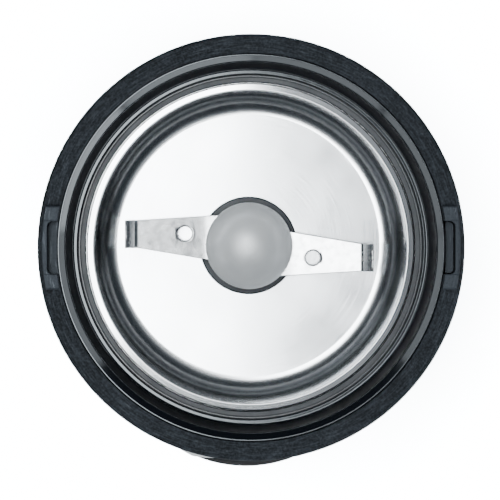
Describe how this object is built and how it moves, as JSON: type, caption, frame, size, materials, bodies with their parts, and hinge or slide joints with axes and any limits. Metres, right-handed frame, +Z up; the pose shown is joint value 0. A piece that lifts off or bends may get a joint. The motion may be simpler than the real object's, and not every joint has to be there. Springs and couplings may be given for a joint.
{
  "type": "electric spice grinder base",
  "caption": "Upright electric spice grinder base with an open fixed steel bowl, a spinning two-armed blade, a front push button and a rim slider that the lid presses.",
  "frame": {"origin": "centre of the foot ring's underside, on the axis of the bowl and motor", "axes": "+Z up along the motor's axis, -Y towards the front button, +X to the slider side of the rim"},
  "size_m": [0.1004, 0.1059, 0.1324],
  "materials": {
    "matte_black": "fine moulded texture",
    "gloss_black": "polished",
    "satin_black": "satin, finely textured",
    "dark_housing": "plain moulded",
    "sleeve_steel": "brushed round the body",
    "bowl_steel": "finely brushed in circles",
    "blade_steel": "stamped, fine grain",
    "satin_grey": "satin",
    "silver_trim": "bright",
    "black_rubber": "matte",
    "grey_rubber": "satin",
    "zinc_steel": "zinc plated",
    "shaft_steel": "ground",
    "laminated_steel": "stacked sheets, oiled",
    "bronze": "sintered",
    "brass": "plain",
    "enamelled_copper": "varnished windings",
    "copper": "turned copper",
    "die_cast": "as cast",
    "phenolic": "moulded phenolic",
    "carbon": "pressed carbon",
    "fan_grey": "moulded",
    "capacitor_case": "dipped",
    "switch_black": "moulded"
  },
  "bodies": {
    "base": {"base_cover": "matte_black", "foot_ring": "black_rubber", "base_screws": "zinc_steel", "cord_grommet": "black_rubber", "cord_clamp": "dark_housing", "clamp_screws": "zinc_steel", "noise_capacitor": "capacitor_case", "housing": "dark_housing", "body_sleeve": "sleeve_steel", "rim_collar": "matte_black", "lid_seat_ring": "gloss_black", "grinding_bowl": "bowl_steel", "bowl_seal": "grey_rubber", "shaft_seal": "grey_rubber", "stator_core": "laminated_steel", "field_coils": "enamelled_copper", "upper_motor_bracket": "die_cast", "lower_motor_bracket": "phenolic", "upper_bearing": "bronze", "lower_bearing": "bronze", "motor_bolts": "zinc_steel", "motor_nuts": "zinc_steel", "motor_dampers": "black_rubber", "damper_screws": "zinc_steel", "brush_holders": "brass", "carbon_brushes": "carbon", "brush_springs": "zinc_steel", "button_bezel": "silver_trim", "button_spring": "zinc_steel", "power_switch": "switch_black", "switch_bracket": "dark_housing", "bracket_screws": "zinc_steel", "lid_slider_spring": "zinc_steel", "lid_switch": "switch_black"},
    "rotor": {"motor_shaft": "shaft_steel", "armature_core": "laminated_steel", "armature_windings": "enamelled_copper", "commutator": "copper", "cooling_fan": "fan_grey", "thrust_washers": "zinc_steel", "blade_hub": "zinc_steel", "blade": "blade_steel", "hub_cap": "satin_grey"},
    "button": {"push_button": "satin_black"},
    "slider": {"lid_slider": "matte_black"}
  },
  "joints": [
    {"name": "rotor_spin", "type": "hinge", "parent": "base", "child": "rotor", "pos_m": [0, 0, 0.0534], "axis": [0, 0, 1], "continuous": true},
    {"name": "button_press", "type": "slide", "parent": "base", "child": "button", "axis": [0, 1, 0], "range_m": [0, 0.0022], "stiffness_N_per_m": 600, "springref_m": -0.002, "deforming": ["button_spring"]},
    {"name": "lid_slide", "type": "slide", "parent": "base", "child": "slider", "axis": [0, 0, -1], "range_m": [0, 0.003], "stiffness_N_per_m": 300, "springref_m": -0.002, "deforming": ["lid_slider_spring"]}
  ]
}
